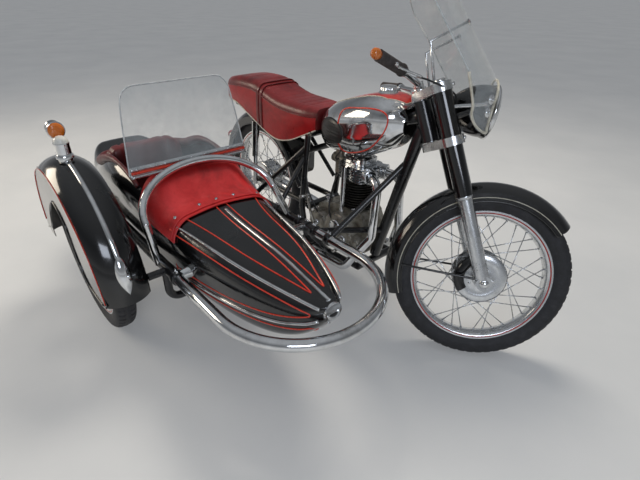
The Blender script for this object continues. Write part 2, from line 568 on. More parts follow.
for wheel in wheelTable:
    name, centre, half, hub = wheel["name"], wheel["centre"], wheel["half"], wheel["hub"]
    addPiece(name + "TreadTyre", treadTyre(centre), "tyreRubber", wheel["body"],
             stands=(name + "_tyre",))
    rim = lathe(rimShape + rimShape[:1], centre, steps=160)
    drum = lathe(hubDrum(half, hub), centre, steps=96)
    addPiece(name + "RimAndHub", [rim, drum] + spokeSet(wheel), "polishedAlloy", wheel["body"],
             stands=(name + "_wheel",))
    lines = [lathe([(side * across, radius) for across, radius in rimLine], centre, steps=160)
             for side in (-1, 1)]
    addPiece(name + "RimLines", lines, "rimLineRed", wheel["body"])
    # Brake plate bolts and a dust cap on each face
    studs = [hexHead(np.add(centre, (hubShape["stud"] * cos(a), side * (half - 3),
                                     hubShape["stud"] * sin(a))), (0, side, 0), 5, 4)
             for a in np.arange(5) * 2 * pi / 5 for side in (-1, 1)]
    caps = [lathe([(half - 4, 31), (half + 1, 30), (half + 2, 27), (half + 2, 12)], centre, (0, side, 0), 40)
            for side in (-1, 1)]
    addPiece(name + "HubStuds", studs + caps, "chromePlate", wheel["body"])
print("wheels made")

# Front brake: black half cover on the right face of the hub, as a dished sector
cover = lathe([(53, 60), (58, 64), (59, 80), (55, 91), (44, 97), (30, 98.5)], frontAxle, (0, -1, 0), 48,
              radians(-80), radians(125))
addPiece("frontBrakeCover", cover, "glossBlackEnamel", "fork")


def axleNuts(centre, faces, body, name):
    # A washer and a nut on each end of an axle; faces gives the side and how far out it lies
    parts = []
    for side, reach in faces:
        spot = np.add(centre, (0, reach, 0))
        parts.append(lathe([(0, 17), (3, 17), (3, 9)], spot, (0, side, 0), 32))
        parts.append(hexHead(np.add(spot, (0, side * 3, 0)), (0, side, 0), 12, 9))
    addPiece(name, parts, "chromePlate", body)


axleNuts(frontAxle, [(-1, -118), (1, 118)], "fork", "frontAxleNuts")
axleNuts(rearAxle, [(-1, -104), (1, 104)], "chassis", "rearAxleNuts")
axleNuts((sidecarAxle[0], 0, sidecarAxle[2]), [(-1, -1121)], "chassis", "sidecarAxleNut")

# Hull surface: rays towards the nose axis find the skin, so that trim follows it exactly
noseAxis = {"y": -655.0, "z": 435.0}
castFrom = 0.6  # metres out from the axis, outside the hull everywhere
apronWall = 4.5  # thickness of the apron's solid over the hull


def treeOf(name):
    # A solid's faces where the frame shows it, for casting rays
    node = frame["nodes"][name]
    return BVHTree.FromPolygons([node.matrix_world @ vertex.co for vertex in node.data.vertices],
                                [list(polygon.vertices) for polygon in node.data.polygons])


hullTree, apronTree, tankTree = (treeOf(name) for name in ("sidecar_body", "apron", "fuel_tank"))


def onHull(x, angle, lift=0.0, tree=hullTree):
    # Cast from outside at (x, angle) to the axis; the skin point moves out by lift along its normal.
    # Where the apron's solid ends, its surface goes on at the same height above the hull
    way = Vector((0, cos(angle), sin(angle)))
    axisSpot = Vector((x / 1000, noseAxis["y"] / 1000, noseAxis["z"] / 1000)) + Vector(origin)
    spot, normal = tree.ray_cast(axisSpot + way * castFrom, -way)[:2]
    if spot is None:
        return onHull(x, angle, lift + apronWall)
    normal = normal if normal.dot(way) > 0 else -normal
    return (np.array(spot) - origin) * 1000 + np.array(normal) * lift


# Beads: half-round chrome on the skin from the nose back to the tail station, thinned out at that end
beadShape = {"radius": 6, "tip": 2.5, "nearTip": 5, "lift": 0.5, "step": 60, "lastStep": 1190,
             "nose": [1196, 1216], "count": 90}
beadTable = [
    {"angle": 90, "tail": 628},
    {"angle": 26, "tail": 606},
    {"angle": 154, "tail": 606},
    {"angle": -28, "tail": -380},
    {"angle": -152, "tail": -380},
    {"angle": -90, "tail": 700},
]
beads = []
for bead in beadTable:
    stations = np.arange(bead["tail"], beadShape["lastStep"], beadShape["step"])
    spots = [onHull(x, radians(bead["angle"]), beadShape["lift"])
             for x in np.concatenate([stations, beadShape["nose"]])]
    radii = np.full(beadShape["count"], float(beadShape["radius"]))
    radii[:2] = beadShape["tip"], beadShape["nearTip"]
    beads.append(sweepTube(smoothPath(spots, beadShape["count"]), radii, 14))
addPiece("hullBeads", beads, "chromePlate")

# Pinstripe leaves: between two beads the line keeps its inset from each, so its sides meet near the nose
stripe = {"inset": 26, "radius": 2.7, "lift": 0.4, "rear": 592, "rearSide": 470, "nose": 1196, "closed": 0.06}
panelTable = [(90, 26), (154, 90), (26, -28), (-28, -90), (-90, -152), (-152, -206)]
stripes = []
for first, last in panelTable:
    rear = stripe["rear"] if first > 26 or first < -28 else stripe["rearSide"]
    middle = radians((first + last) / 2)
    high, low = [], []
    for x in np.linspace(rear, stripe["nose"], 34):
        reach = np.linalg.norm(onHull(x, middle)[1:] - (noseAxis["y"], noseAxis["z"]))
        upper, lower = radians(first) - stripe["inset"] / reach, radians(last) + stripe["inset"] / reach
        if upper - lower < stripe["closed"]:
            high.append((x, middle))
            break
        high.append((x, upper))
        low.append((x, lower))
    outline = [onHull(x, a, stripe["lift"]) for x, a in high + low[::-1]]
    stripes.append(sweepTube(smoothPath(outline, 220, True), stripe["radius"], 6, True))
addPiece("hullPinstripes", stripes, "pinstripeRed")

# Nose badge: chrome ring with a bare black disc, tilted up on the domed nose cap
badge = {"centre": (1216, -655, 438), "axis": (0.82, 0, 0.57)}
badgeTable = [
    ("noseCap", [(-26, 33), (-12, 34), (0, 33.5), (9, 31)], 64, "chromePlate"),
    ("noseBadgeRing", [(8, 31), (13, 30.5), (15, 27.5), (14, 24.5), (11, 24)], 64, "chromePlate"),
    ("noseBadgeDisc", [(11, 24.4), (12.4, 16), (13, 0.01)], 48, "glossBlackEnamel"),
]
for name, profile, steps, finish in badgeTable:
    addPiece(name, lathe(profile, badge["centre"], badge["axis"], steps), finish)
print("hull trim made")

# Seat: rows along it, each (x, half width, lower edge, crown, shoulder radius)
seatShape = {"rows": [(-272, 34, 756, 806, 18), (-240, 78, 742, 826, 30), (-180, 104, 734, 842, 36),
                      (-100, 115, 728, 855, 40), (10, 118, 688, 858, 40), (90, 118, 658, 850, 40),
                      (180, 118, 626, 824, 40), (260, 118, 616, 808, 40), (350, 118, 636, 804, 40),
                      (430, 114, 672, 802, 38), (486, 101, 700, 800, 34), (506, 94, 711, 798, 28)],
             "count": 150, "crown": 3, "well": 725.4, "rim": 9, "skirtColumns": 9, "bulge": 2.6,
             "pitch": 46, "stitch": 3.2, "press": 2.2, "stitched": ((-240, 20), (60, 470))}
seatRows = smoothPath(seatShape["rows"], seatShape["count"])


def seatArc(half, high, corner, count, soft):
    # Shoulder arcs into a crown that bows up a little: z = high + soft (1 - (y / half)^2)
    turns = np.linspace(0, pi / 2, 9)
    y = np.concatenate([half - corner + corner * np.cos(turns), np.linspace(half - corner, 0, count)[1:]])
    z = np.concatenate([high - corner + corner * np.sin(turns), np.full(count - 1, float(high))])
    z = z + soft * (1 - (y / half) ** 2) * np.clip((z - high + corner) / corner, 0, 1)
    return y, z


topRows, skirtRows, innerRows, lowEdge, shoulderEdge = [], [], [], [], []
for x, half, low, high, corner in seatRows:
    y, z = seatArc(half, high, corner, 10, seatShape["crown"])
    # Crosswise stitched rolls: each seam presses the crown in by a bell curve, less towards the sides
    stitched = any(rear < x < front for rear, front in seatShape["stitched"])
    seam = np.exp(-((x % seatShape["pitch"] - seatShape["pitch"] / 2) / seatShape["stitch"]) ** 2)
    z = z - seatShape["press"] * seam * stitched * np.clip(1.4 - np.abs(y) / half, 0, 1)
    right = np.stack([np.full(len(y), x), -y, z], 1)
    left = np.stack([np.full(len(y), x), y, z], 1)[::-1][1:]
    topRows.append(np.concatenate([right, left]))
    # Skirt: from the shoulder to the lower edge, swelling out as half a sine wave
    drop = np.linspace(0, 1, seatShape["skirtColumns"])
    shoulder = high - corner
    bulge = half + seatShape["bulge"] * np.sin(pi * drop)
    level = shoulder + (low - shoulder) * drop
    skirtRows.append(np.stack([np.full(len(drop), x), -bulge, level], 1))
    inside, deep = half - seatShape["rim"], max(seatShape["well"], low + 3)
    innerRows.append([(x, -half, low), (x, -inside, low), (x, -inside, deep), (x, inside, deep),
                      (x, inside, low), (x, half, low)])
    lowEdge.append((x, half, low))
    shoulderEdge.append((x, half, shoulder))
mirror = np.array((1, -1, 1))
top, skirt, inner = (surface(rows) for rows in (topRows, skirtRows, innerRows))
skirts = [skirt, (skirt[0] * mirror, skirt[1][:, ::-1])]


def seatLine(index):
    # One line over the seat at a row: up the right skirt, over the crown and down the left skirt
    skirtLine = np.array(skirtRows[index])
    return np.concatenate([skirtLine[::-1], np.array(topRows[index])[1:], (skirtLine * mirror)[1:]])


def closeEnd(row, index):
    # Fills an end of the seat with a strip of quads between its right and left halves
    half = row[:len(row) // 2 + 1]
    other = row[::-1][:len(half)]
    faces = gridFaces(2, len(half))
    return np.concatenate([half, other]), faces if index else faces[:, ::-1]


ends = [closeEnd(seatLine(index), index) for index in (0, -1)]
seatTop = addPiece("seatCrown", [top, inner] + ends, "seatTopHide", stands=("dual_seat",))
seatSkirt = addPiece("seatSkirts", skirts, "seatSkirtHide")
for name, edge, radius, finish in (("seatPiping", lowEdge, 3.2, "creamTrim"),
                                   ("seatSeamPiping", shoulderEdge, 2.6, "seatTopHide")):
    sides = [sweepTube(np.array(edge) * (1, side, 1) + (0, side * 1.2, 0), radius, 8) for side in (1, -1)]
    addPiece(name, sides, finish)

# Two-band strap over the seat: a flat bar with broken edges, carried over the seat at two rows
strapShape = {"places": (98, 128), "middle": 760.0,
              "section": ((-10, 0.5), (-10, 3.4), (-8, 4.0), (8, 4.0), (10, 3.4), (10, 0.5))}
strap = []
for x in strapShape["places"]:
    line = seatLine(int(np.argmin(np.abs(seatRows[:, 0] - x))))
    out = line - np.array((x, 0, strapShape["middle"]))
    out[:, 0] = 0
    out /= np.linalg.norm(out, axis=1)[:, None]
    rows = [line + out * lift + (along, 0, 0) for along, lift in strapShape["section"]]
    strap.append(surface(np.stack(rows, 1)))
addPiece("seatStrap", strap, "seatTopHide")


def pillow(centre, size, counts, power, pleat, pitch):
    # Superellipsoid: each of x, y, z = half * sign(c) |c|^p, with pleats cut as -d |cos(pi y / pitch)|^10
    u = np.linspace(-pi / 2, pi / 2, counts[0])
    v = np.linspace(0, 2 * pi, counts[1], endpoint=False)
    u, v = np.meshgrid(u, v, indexing="ij")
    x = rounded(np.cos(u), power) * rounded(np.cos(v), power)
    y = rounded(np.sin(u), power) * size[1] / 2
    z = rounded(np.cos(u), power) * rounded(np.sin(v), power)
    dent = pleat * np.abs(np.cos(pi * y / pitch)) ** 10
    points = np.stack([centre[0] + x * (size[0] / 2 - dent), centre[1] + y,
                       centre[2] + z * (size[2] / 2 - dent)], -1)
    return surface(points, False, True)


# Cockpit upholstery: the backrest stands for the CAD seat, with the cushion before it
cushionTable = [
    {"name": "cockpitBackrest", "centre": (-105, -655, 439), "size": (84, 362, 378), "pleat": 5, "pitch": 52,
     "slot": "seat_hide", "stands": ("sidecar_seat",)},
    {"name": "cockpitCushion", "centre": (122, -655, 305), "size": (352, 296, 128), "pleat": 4, "pitch": 50,
     "slot": None, "stands": ()},
]
for pad in cushionTable:
    shape = pillow(pad["centre"], pad["size"], (110, 72), 0.32, pad["pleat"], pad["pitch"])
    piece = addPiece(pad["name"], shape, "cockpitHide", stands=pad["stands"])

# Padded roll round the cockpit mouth, from the windscreen back, thicker behind the passenger
mouth = {"x": 185, "y": -655, "length": 710, "width": 410, "corner": 110, "grow": 7, "screen": 392}
rollShape = {"radius": 9, "swell": 12, "swellFrom": 150, "swellRun": 220}


def mouthLoop(grow, count=16):
    # Rounded rectangle grown outwards: four corner arcs, each followed by twelve points along a side
    halfX, halfY, r = mouth["length"] / 2 + grow, mouth["width"] / 2 + grow, mouth["corner"] + grow
    corners = [(halfX - r, halfY - r, 0), (r - halfX, halfY - r, 90), (r - halfX, r - halfY, 180),
               (halfX - r, r - halfY, 270)]
    nextSpots = [(r - halfX, halfY), (-halfX, r - halfY), (halfX - r, -halfY), (halfX, halfY - r)]
    loop = []
    for (cx, cy, start), nextSpot in zip(corners, nextSpots):
        for a in np.radians(np.linspace(start, start + 90, count)):
            loop.append((mouth["x"] + cx + r * cos(a), mouth["y"] + cy + r * sin(a)))
        last = np.array(loop[-1])
        target = np.array(nextSpot) + (mouth["x"], mouth["y"])
        for t in np.linspace(0, 1, 14)[1:-1]:
            loop.append(tuple(last + (target - last) * t))
    return loop


def struck(tree, start, way):
    # Where a ray from a spot of the layout, given in metres, meets a solid, in millimetres
    spot = tree.ray_cast(Vector(start) + Vector(origin), Vector(way))[0]
    return (np.array(spot) - origin) * 1000


def dropOn(tree, x, y, lift):
    # The spot on a solid below (x, y), found from 1.2 m up, raised by lift
    return struck(tree, (x / 1000, y / 1000, 1.2), (0, 0, -1)) + (0, 0, lift)


rim = np.array([dropOn(hullTree, x, y, 3) for x, y in mouthLoop(mouth["grow"]) if x < mouth["screen"]])
back = np.clip((rollShape["swellFrom"] - rim[:, 0]) / rollShape["swellRun"], 0, 1)
swell = rollShape["swell"] * back ** 0.7
roll = addPiece("cockpitRoll", sweepTube(rim + np.outer(swell, (0, 0, 0.5)), rollShape["radius"] + swell, 18),
                "cockpitHide")

# Apron: leather cloth stretched over the hull from the screen forward, with slack folds towards its edge.
# Row t runs from 0 at the screen to 1 in front, column s from 0 to 1 across
apronShape = {"rear": 396, "front": 606, "dip": 26, "rows": 46, "columns": 120, "lift": 0.2,
              "lowest": 20, "lowestFront": 12, "footHeight": 657, "footDrop": 22, "footHalf": 248,
              "pullTo": 0.7}
cloth = []
for t in np.linspace(0, 1, apronShape["rows"]):
    row = []
    for s in np.linspace(0, 1, apronShape["columns"]):
        ahead = apronShape["front"] + apronShape["dip"] * abs(2 * s - 1) ** 2 - apronShape["rear"]
        lowest = radians(apronShape["lowest"] + (apronShape["lowestFront"] - apronShape["lowest"]) * t)
        angle = lowest + (pi - 2 * lowest) * s
        # Folds: ripples that run fore and aft, deeper at the middle of the length, up to 2.6 mm high
        broadFold = 1.7 * sin(9.5 * s * pi + 1.7 * sin(3 * t)) * sin(pi * t) ** 0.7
        fineFold = 0.9 * sin(23 * s + 5 * t) * sin(pi * t)
        spot = onHull(apronShape["rear"] + ahead * t, angle, apronShape["lift"] + broadFold + fineFold,
                      apronTree)
        # The rear edge is pulled up to the screen's foot: rise (1 - t / 0.7)^1.3, faded out smoothly
        # between 52 and 30 degrees, below the shoulders
        level = apronShape["footHeight"] - apronShape["footDrop"] * abs(
            (spot[1] - noseAxis["y"]) / apronShape["footHalf"]) ** 5
        shoulder = np.clip((sin(angle) - sin(radians(30))) / (sin(radians(52)) - sin(radians(30))), 0, 1)
        pull = max(0, 1 - t / apronShape["pullTo"]) ** 1.3 * shoulder ** 2 * (3 - 2 * shoulder)
        spot[2] += max(0, level - spot[2]) * pull
        row.append(spot)
    cloth.append(row)
cloth = np.array(cloth)
apronPiece = addPiece("apronCloth", surface(cloth), "apronVinyl", stands=("apron",))
apronTrim = [sweepTube(cloth[-1] + (2, 0, 1), 3.4, 8), sweepTube(cloth[-4] + (0, 0, 1.6), 2.6, 8),
             sweepTube(cloth[:, 0] + (0, 0, 0.5), 2.6, 8), sweepTube(cloth[:, -1] + (0, 0, 0.5), 2.6, 8)]
apronPiping = addPiece("apronPiping", apronTrim, "apronVinyl")
studRow, studPlaces = -9, (0.12, 0.31, 0.5, 0.69, 0.88)
studs = []
for s in studPlaces:
    j = int(s * (apronShape["columns"] - 1))
    spot = cloth[studRow, j]
    out = np.cross(cloth[studRow, j + 1] - spot, cloth[studRow + 1, j] - spot)
    out = out * np.sign(out[2]) / np.linalg.norm(out)
    studs.append(roundHead(spot, out, 7, 3.6))
addPiece("apronStuds", studs, "chromePlate")
print("seats and apron made")

# Chassis tube: chrome round the nose, black enamel behind the cones, with clamps and bright nuts
hoop = {"right": -905, "left": -298, "z": 375, "radius": 21, "tail": -349.5, "coat": 0.22}
clampShape = {"section": [(-13, 21.3), (-13, 25), (-11, 26.5), (11, 26.5), (13, 25), (13, 21.3)],
              "nutApart": 6, "nutHeight": 25}
clampTable = [(832, "left"), (740, "left"), (642, "left"), (480, "left"), (280, "left"), (690, "right"),
              (690, "left"), (-80, "right"), (-80, "left")]
sleeves, clamps, nuts = [], [], []
for side, front in (("right", 700), ("left", 770)):
    sleeve = [(hoop["tail"], hoop[side], hoop["z"]), (front, hoop[side], hoop["z"])]
    sleeves.append(sweepTube(sleeve, hoop["radius"] + hoop["coat"], 32, ends=False))
for x, side in clampTable:
    clamps.append(lathe(clampShape["section"], (x, hoop[side], hoop["z"]), (1, 0, 0), 40))
    for apart in (-clampShape["nutApart"], clampShape["nutApart"]):
        foot = np.array((x + apart, hoop[side], hoop["z"] + clampShape["nutHeight"]))
        nuts.append(hexHead(foot, (0, 0, 1), 6, 6))
        nuts.append(sweepTube([foot - (0, 0, 1), foot + (0, 0, 10)], 3, 8))
addPiece("hoopBlackSleeves", sleeves, "frameBlackEnamel")
addPiece("hoopClamps", clamps, "frameBlackEnamel")
addPiece("hoopNuts", nuts, "chromePlate")

# Windscreen: pale edge bead round the pane, and red rubber between two alloy strips with screws.
# The edge is (side, height up the pane); each strip is a height and a lift in front of or behind it
pane = {"tilt": radians(8), "foot": (402, -655, 664), "half": 248,
        "edge": [(-248, 2), (-238, 90), (-226, 190), (-216, 250), (-206, 276), (-186, 294), (-160, 301.5),
                 (-80, 302), (0, 302), (80, 302), (160, 301.5), (186, 294), (206, 276), (216, 250),
                 (226, 190), (238, 90), (248, 2)]}
stripShape = {"lifts": (8.6, -5.6), "red": 11, "redRadius": 6, "alloy": (-3, 24), "alloyRadius": 6.2,
              "screwProud": 5.4}
paneUp = np.array((-sin(pane["tilt"]), 0, cos(pane["tilt"])))
paneAhead = np.array((cos(pane["tilt"]), 0, sin(pane["tilt"])))


def onPane(side, height, lift=1.5):
    # A spot across and up the tilted pane, lift ahead of its middle
    return np.array(pane["foot"]) + (0, side, 0) + paneUp * height + paneAhead * lift


def paneStrip(trim, height, lift, radius):
    # A round strip across the pane, trimmed at both ends
    reach = pane["half"] - trim
    return sweepTube([onPane(side, height, lift) for side in np.linspace(-reach, reach, 60)], radius, 10)


paneBead = sweepTube(smoothPath([onPane(*spot) for spot in pane["edge"]], 150), 2.6, 8)
addPiece("paneEdge", paneBead, "acrylicEdge")
redStrip, screws, alloyStrip = [], [], []
for lift in stripShape["lifts"]:
    redStrip.append(paneStrip(6, stripShape["red"], lift, stripShape["redRadius"]))
    for height in stripShape["alloy"]:
        alloyStrip.append(paneStrip(5, height, lift, stripShape["alloyRadius"]))
    for side in np.linspace(-220, 220, 9):
        head = onPane(side, stripShape["alloy"][1], lift + stripShape["screwProud"] * np.sign(lift))
        screws.append(roundHead(head, paneAhead * np.sign(lift), 4.2, 2.4))
addPiece("paneAlloyStrips", alloyStrip, "polishedAlloy")
addPiece("paneRedStrips", redStrip, "pinstripeRed")
addPiece("paneScrews", screws, "chromePlate")

# Sidecar mudguard: silver crown strip that ends in a teardrop, pinstripe along the fold, lamps
guard = {"axle": sidecarAxle, "radius": 405, "half": 80, "rise": 34, "strip": (84, 22), "stripRows": 90,
         "stripSection": ((-1, 0.3), (-0.8, 3), (0, 4.6), (0.8, 3), (1, 0.3)), "tear": (24, 4),
         "tearRows": 40, "tearColumns": 11}


def guardSpot(side, angle, lift=0.0):
    # Crown: the circle through (-half, radius - rise), (0, radius), (half, radius - rise)
    curve = (guard["half"] ** 2 + guard["rise"] ** 2) / (2 * guard["rise"])
    level = guard["radius"] - curve + np.sqrt(curve ** 2 - side ** 2) + lift
    return np.array(guard["axle"]) + (level * cos(angle), side, level * sin(angle))


strip, tear = [], []
for t in np.linspace(0, 1, guard["stripRows"]):
    angle = radians(guard["strip"][0] + (guard["strip"][1] - guard["strip"][0]) * t)
    strip.append([guardSpot(side * (7 + 1.5 * t), angle, lift) for side, lift in guard["stripSection"]])
for t in np.linspace(0, 1, guard["tearRows"]):
    # Teardrop: half width 7.5 (1 - t) + 21 sin(pi t)^0.8, height 4.6 (1 - t) + 11 sin(pi t)^0.6
    angle = radians(guard["tear"][0] + (guard["tear"][1] - guard["tear"][0]) * t)
    swell = sin(pi * min(t * 1.02, 1))
    width = max(7.5 * (1 - t) + 21 * swell ** 0.8, 0.4)
    height = 4.6 * (1 - t) + 11 * swell ** 0.6
    tear.append([guardSpot(s * width, angle, 0.3 + height * (1 - s ** 2) ** 0.5)
                 for s in np.linspace(-1, 1, guard["tearColumns"])])
addPiece("sideGuardStrip", [surface(strip), surface(tear)], "chromePlate")
# Lines on the outer face, as (x, z): the pinstripe along the fold and the rolled lip round the cut-out
guardLines = [
    {"name": "sideGuardPinstripe", "y": -1146.2, "radius": 1.8, "sides": 6, "count": 160,
     "finish": "pinstripeRed",
     "path": [(-152, 352), (-108, 478), (-8, 604), (120, 672), (246, 688), (368, 664), (415, 640), (498, 574),
              (560, 500), (602, 400), (618, 326)]},
    {"name": "sideGuardLip", "y": -1146.4, "radius": 3.0, "sides": 8, "count": 150,
     "finish": "glossBlackEnamel",
     "path": [(628, 322), (563, 300), (415, 310), (352, 400), (330, 520), (240, 572), (160, 548), (60, 470),
              (-40, 360), (-158, 310)]},
]
for line in guardLines:
    path = smoothPath([(x, line["y"], z) for x, z in line["path"]], line["count"])
    addPiece(line["name"], sweepTube(path, line["radius"], line["sides"]), line["finish"])

# Lamps on the mudguard: a turned side lamp, the indicator on its stalk's foot, and a red lamp at the tail.
# Each piece is turned from (profile, centre, axis, steps)
sideLamp, indicator = (263, -1065, 738), (222, -1065, 828)
lampParts = [
    ("sideLampBody", "chromePlate", [
        ([(0, 30), (8, 30), (14, 26), (16, 24.6), (44, 24.6), (50, 27), (54, 26)], sideLamp, (0, 0, 1), 48),
        ([(-22, 20), (-18, 27), (14, 29), (18, 30.5), (22, 29), (22, 25)], indicator, (1, 0, 0), 48),
        ([(-22, 20), (-24, 12), (-26, 0.01)], indicator, (1, 0, 0), 48),
        ([(0, 16), (6, 16), (8, 12), (8, 11.3)], (215, -1065, 728), (0, 0, 1), 32)]),
    ("sideLampLens", "whiteLens", [
        ([(52, 25.5), (60, 25), (70, 20), (76, 10), (78, 0.01)], sideLamp, (0, 0, 1), 48)]),
    ("sideIndicatorLens", "amberLens", [
        ([(20, 27.5), (26, 25), (31, 15), (33, 0.01)], indicator, (1, 0, 0), 48)]),
    ("sideRearLamp", "redLens", [
        ([(0, 24), (16, 24), (24, 20), (30, 8), (31, 0.01)], (-120, -1065, 520), (-1, 0, 0), 40)]),
]
for name, finish, turned in lampParts:
    addPiece(name, [lathe(*part) for part in turned], finish)

# Motorcycle mudguards: a cream line on the front one's sides, and rolled edges on both.
# Each line runs round the axle at a radius and a distance out from the middle
guardRings = [
    {"name": "frontGuardLine", "axle": frontAxle, "radius": 308, "out": 61.6, "turn": (46, 204), "count": 120,
     "thick": 1.6, "sides": 6, "finish": "creamTrim", "body": "fork"},
    {"name": "frontGuardRoll", "axle": frontAxle, "radius": 294, "out": 60, "turn": (46, 204), "count": 120,
     "thick": 3.2, "sides": 8, "finish": "glossBlackEnamel", "body": "fork"},
    {"name": "rearGuardRoll", "axle": rearAxle, "radius": 298, "out": 65, "turn": (38, 178), "count": 110,
     "thick": 3.2, "sides": 8, "finish": "glossBlackEnamel", "body": "chassis"},
]
for ring in guardRings:
    turns = np.linspace(radians(ring["turn"][0]), radians(ring["turn"][1]), ring["count"])
    tubes = []
    for side in (-1, 1):
        path = np.stack([ring["radius"] * np.cos(turns), np.full(len(turns), side * ring["out"]),
                         ring["radius"] * np.sin(turns)], 1)
        tubes.append(sweepTube(path + ring["axle"], ring["thick"], ring["sides"]))
    addPiece(ring["name"], tubes, ring["finish"], ring["body"])
rearLamp = {"centre": (-366, 0, 470), "axis": (-1, 0, 0.2)}
rearLens = lathe([(0, 26), (18, 26), (28, 20), (32, 8), (33, 0.01)], rearLamp["centre"], rearLamp["axis"], 40)
addPiece("rearLampLens", rearLens, "redLens")
rearBase = lathe([(-14, 20), (-6, 28), (2, 28), (4, 26)], rearLamp["centre"], rearLamp["axis"], 40)
addPiece("rearLampBase", rearBase, "chromePlate")

# Headlamp: chrome rim, and a domed glass with flutes that stand proud on two of every four points
headlamp = {"centre": (1176.3, 0, 904.8), "points": 144, "flute": 0.7,
            "rim": [(30, 88.4), (33, 93), (40, 93.4), (46, 86), (47, 80), (44, 79)],
            "glass": [(45, 80), (52, 66), (57, 46), (60.6, 22), (61.4, 0.01)]}
addPiece("headlampRim", lathe(headlamp["rim"], headlamp["centre"], (1, 0, 0), 80), "chromePlate", "fork")
count = np.arange(headlamp["points"])
a = 2 * pi * count / headlamp["points"]
glass = [np.stack([along + headlamp["flute"] * (count % 4 < 2), radius * np.cos(a), radius * np.sin(a)], 1)
         for along, radius in headlamp["glass"]]
lens = surface(np.array(glass) + headlamp["centre"], False, True)
addPiece("headlampLens", lens, "headlampGlass", "fork")

# Handlebar: ribbed grips, lever perches and blades, an amber marker at the right end
barShape = {"tip": (815, 340, 973), "inner": (890, 214, 962), "ribs": 26, "ribPitch": 5, "perch": 142,
            "pivot": (46, 0, -10), "lever": (52, -2, -14),
            "cable": [(1075, 70, 935), (1085, 52, 860), (1062, 46, 800)]}
grips, levers, cables = [], [], []
for side in (1, -1):
    tip = np.array(barShape["tip"], float) * (1, side, 1)
    inner = np.array(barShape["inner"], float) * (1, side, 1)
    along = (inner - tip) / np.linalg.norm(inner - tip)
    profile = [(-8, 11.3), (-9, 15), (-5, 18)]
    for k in range(barShape["ribs"]):
        base = -3 + k * barShape["ribPitch"]
        profile += [(base, 16.8), (base + 1.4, 17.6), (base + 3.2, 17.6), (base + 4.6, 16.0)]
    profile += [(130, 20), (134, 20), (134, 11.3)]
    grips.append(lathe(profile, tip, along, 28))
    perch = tip + along * barShape["perch"]
    pivot = perch + barShape["pivot"]
    leverTip = tip + np.array(barShape["lever"]) * (1, side, 1)
    levers.append(lathe([(-7, 11.2), (-7, 16), (7, 16), (7, 11.2)], perch, along, 28))
    levers.append(sweepTube([perch, perch + (24, 0, -4), pivot], [8, 7, 6.5], 12))
    blade = smoothPath([perch + (44, 0, -9), perch + (56, side * 30, -12), tip + (62, side * -44, -15),
                        leverTip], 40)
    levers.append(sweepTube(blade, np.linspace(5.4, 4.2, 40), 10, flatten=0.7))
    levers.append(roundHead(leverTip, (0, side, 0), 6, 7))
    # Cable from the lever, looping ahead of the headlamp's yoke and down beside the stem
    route = [pivot, pivot + (50, -side * 40, -2)] + [(x, side * y, z) for x, y, z in barShape["cable"]]
    cables.append(sweepTube(smoothPath(route, 60), 3, 8))
addPiece("gripsRibbed", grips, "gripRubber", "fork", stands=("bar_controls",))
addPiece("leverBlades", levers, "polishedAlloy", "fork")
addPiece("controlCables", cables, "cableSheath", "fork")
rightTip, rightInner = (np.array(barShape[key], float) * (1, -1, 1) for key in ("tip", "inner"))
marker = lathe([(8, 11), (9, 14), (22, 16), (32, 13), (38, 6), (39, 0.01)], rightTip,
               rightTip - rightInner, 32)
addPiece("barEndMarker", marker, "amberLens", "fork")


# Tank: red top panel, red border line on each flank, fluted chrome cap and ribbed knee pads
def onTank(x, z, side, lift=0.0):
    # The spot on a flank at (x, z), found from 0.4 m out, moved sideways by lift
    return struck(tankTree, (x / 1000, side * 0.4, z / 1000), (0, -side, 0)) + (0, side * lift, 0)


topPanel = {"rear": 552, "front": 918, "rows": 90, "columns": 33, "half": 34, "swell": 30, "lift": 0.7}
capShape = {"x": 815, "z": 907.4, "hole": 39, "flutes": 24, "fluteDepth": 1.8, "fluted": (4, 26),
            "points": 144, "rows": [(0, 35), (4, 36), (5, 33), (22, 33), (27, 30), (28, 22), (28, 0.01)]}
panel = []
for t in np.linspace(0, 1, topPanel["rows"]):
    # Half width: 34 at the rear, swelling by a sine to 64 by the cap, closing to a blunt point in front
    half = topPanel["half"] + topPanel["swell"] * sin(pi * min(t * 0.72, 0.5))
    half *= min(1, (1 - t) * 7 + 0.05) ** 0.5
    x = topPanel["rear"] + (topPanel["front"] - topPanel["rear"]) * t
    panel.append([dropOn(tankTree, x, half * s, topPanel["lift"])
                  for s in np.linspace(-1, 1, topPanel["columns"])])
panel = np.array(panel)
points, faces = surface(panel)
middles = points[faces].mean(1)
faces = faces[np.hypot(middles[:, 0] - capShape["x"], middles[:, 1]) > capShape["hole"]]
addPiece("tankTopPanel", (points, faces), "tankTopRed")
border = np.concatenate([panel[:, 0], panel[-1, 1:-1], panel[::-1, -1], panel[0, ::-1][1:-1]])
addPiece("tankTopBorder", sweepTube(border + (0, 0, 0.4), 1.5, 6, True), "creamTrim")
flankLoop = [(690, 840), (780, 862), (850, 870), (892, 862), (908, 836), (898, 790), (866, 744), (815, 704),
             (750, 676), (690, 664), (676, 700), (676, 790)]
flankLine = smoothPath(flankLoop, 140, True)
trim = [sweepTube(np.array([onTank(x, z, side, 0.6) for x, z in flankLine]), 3.0, 8, True)
        for side in (-1, 1)]
addPiece("tankBorderLine", trim, "pinstripeRed")
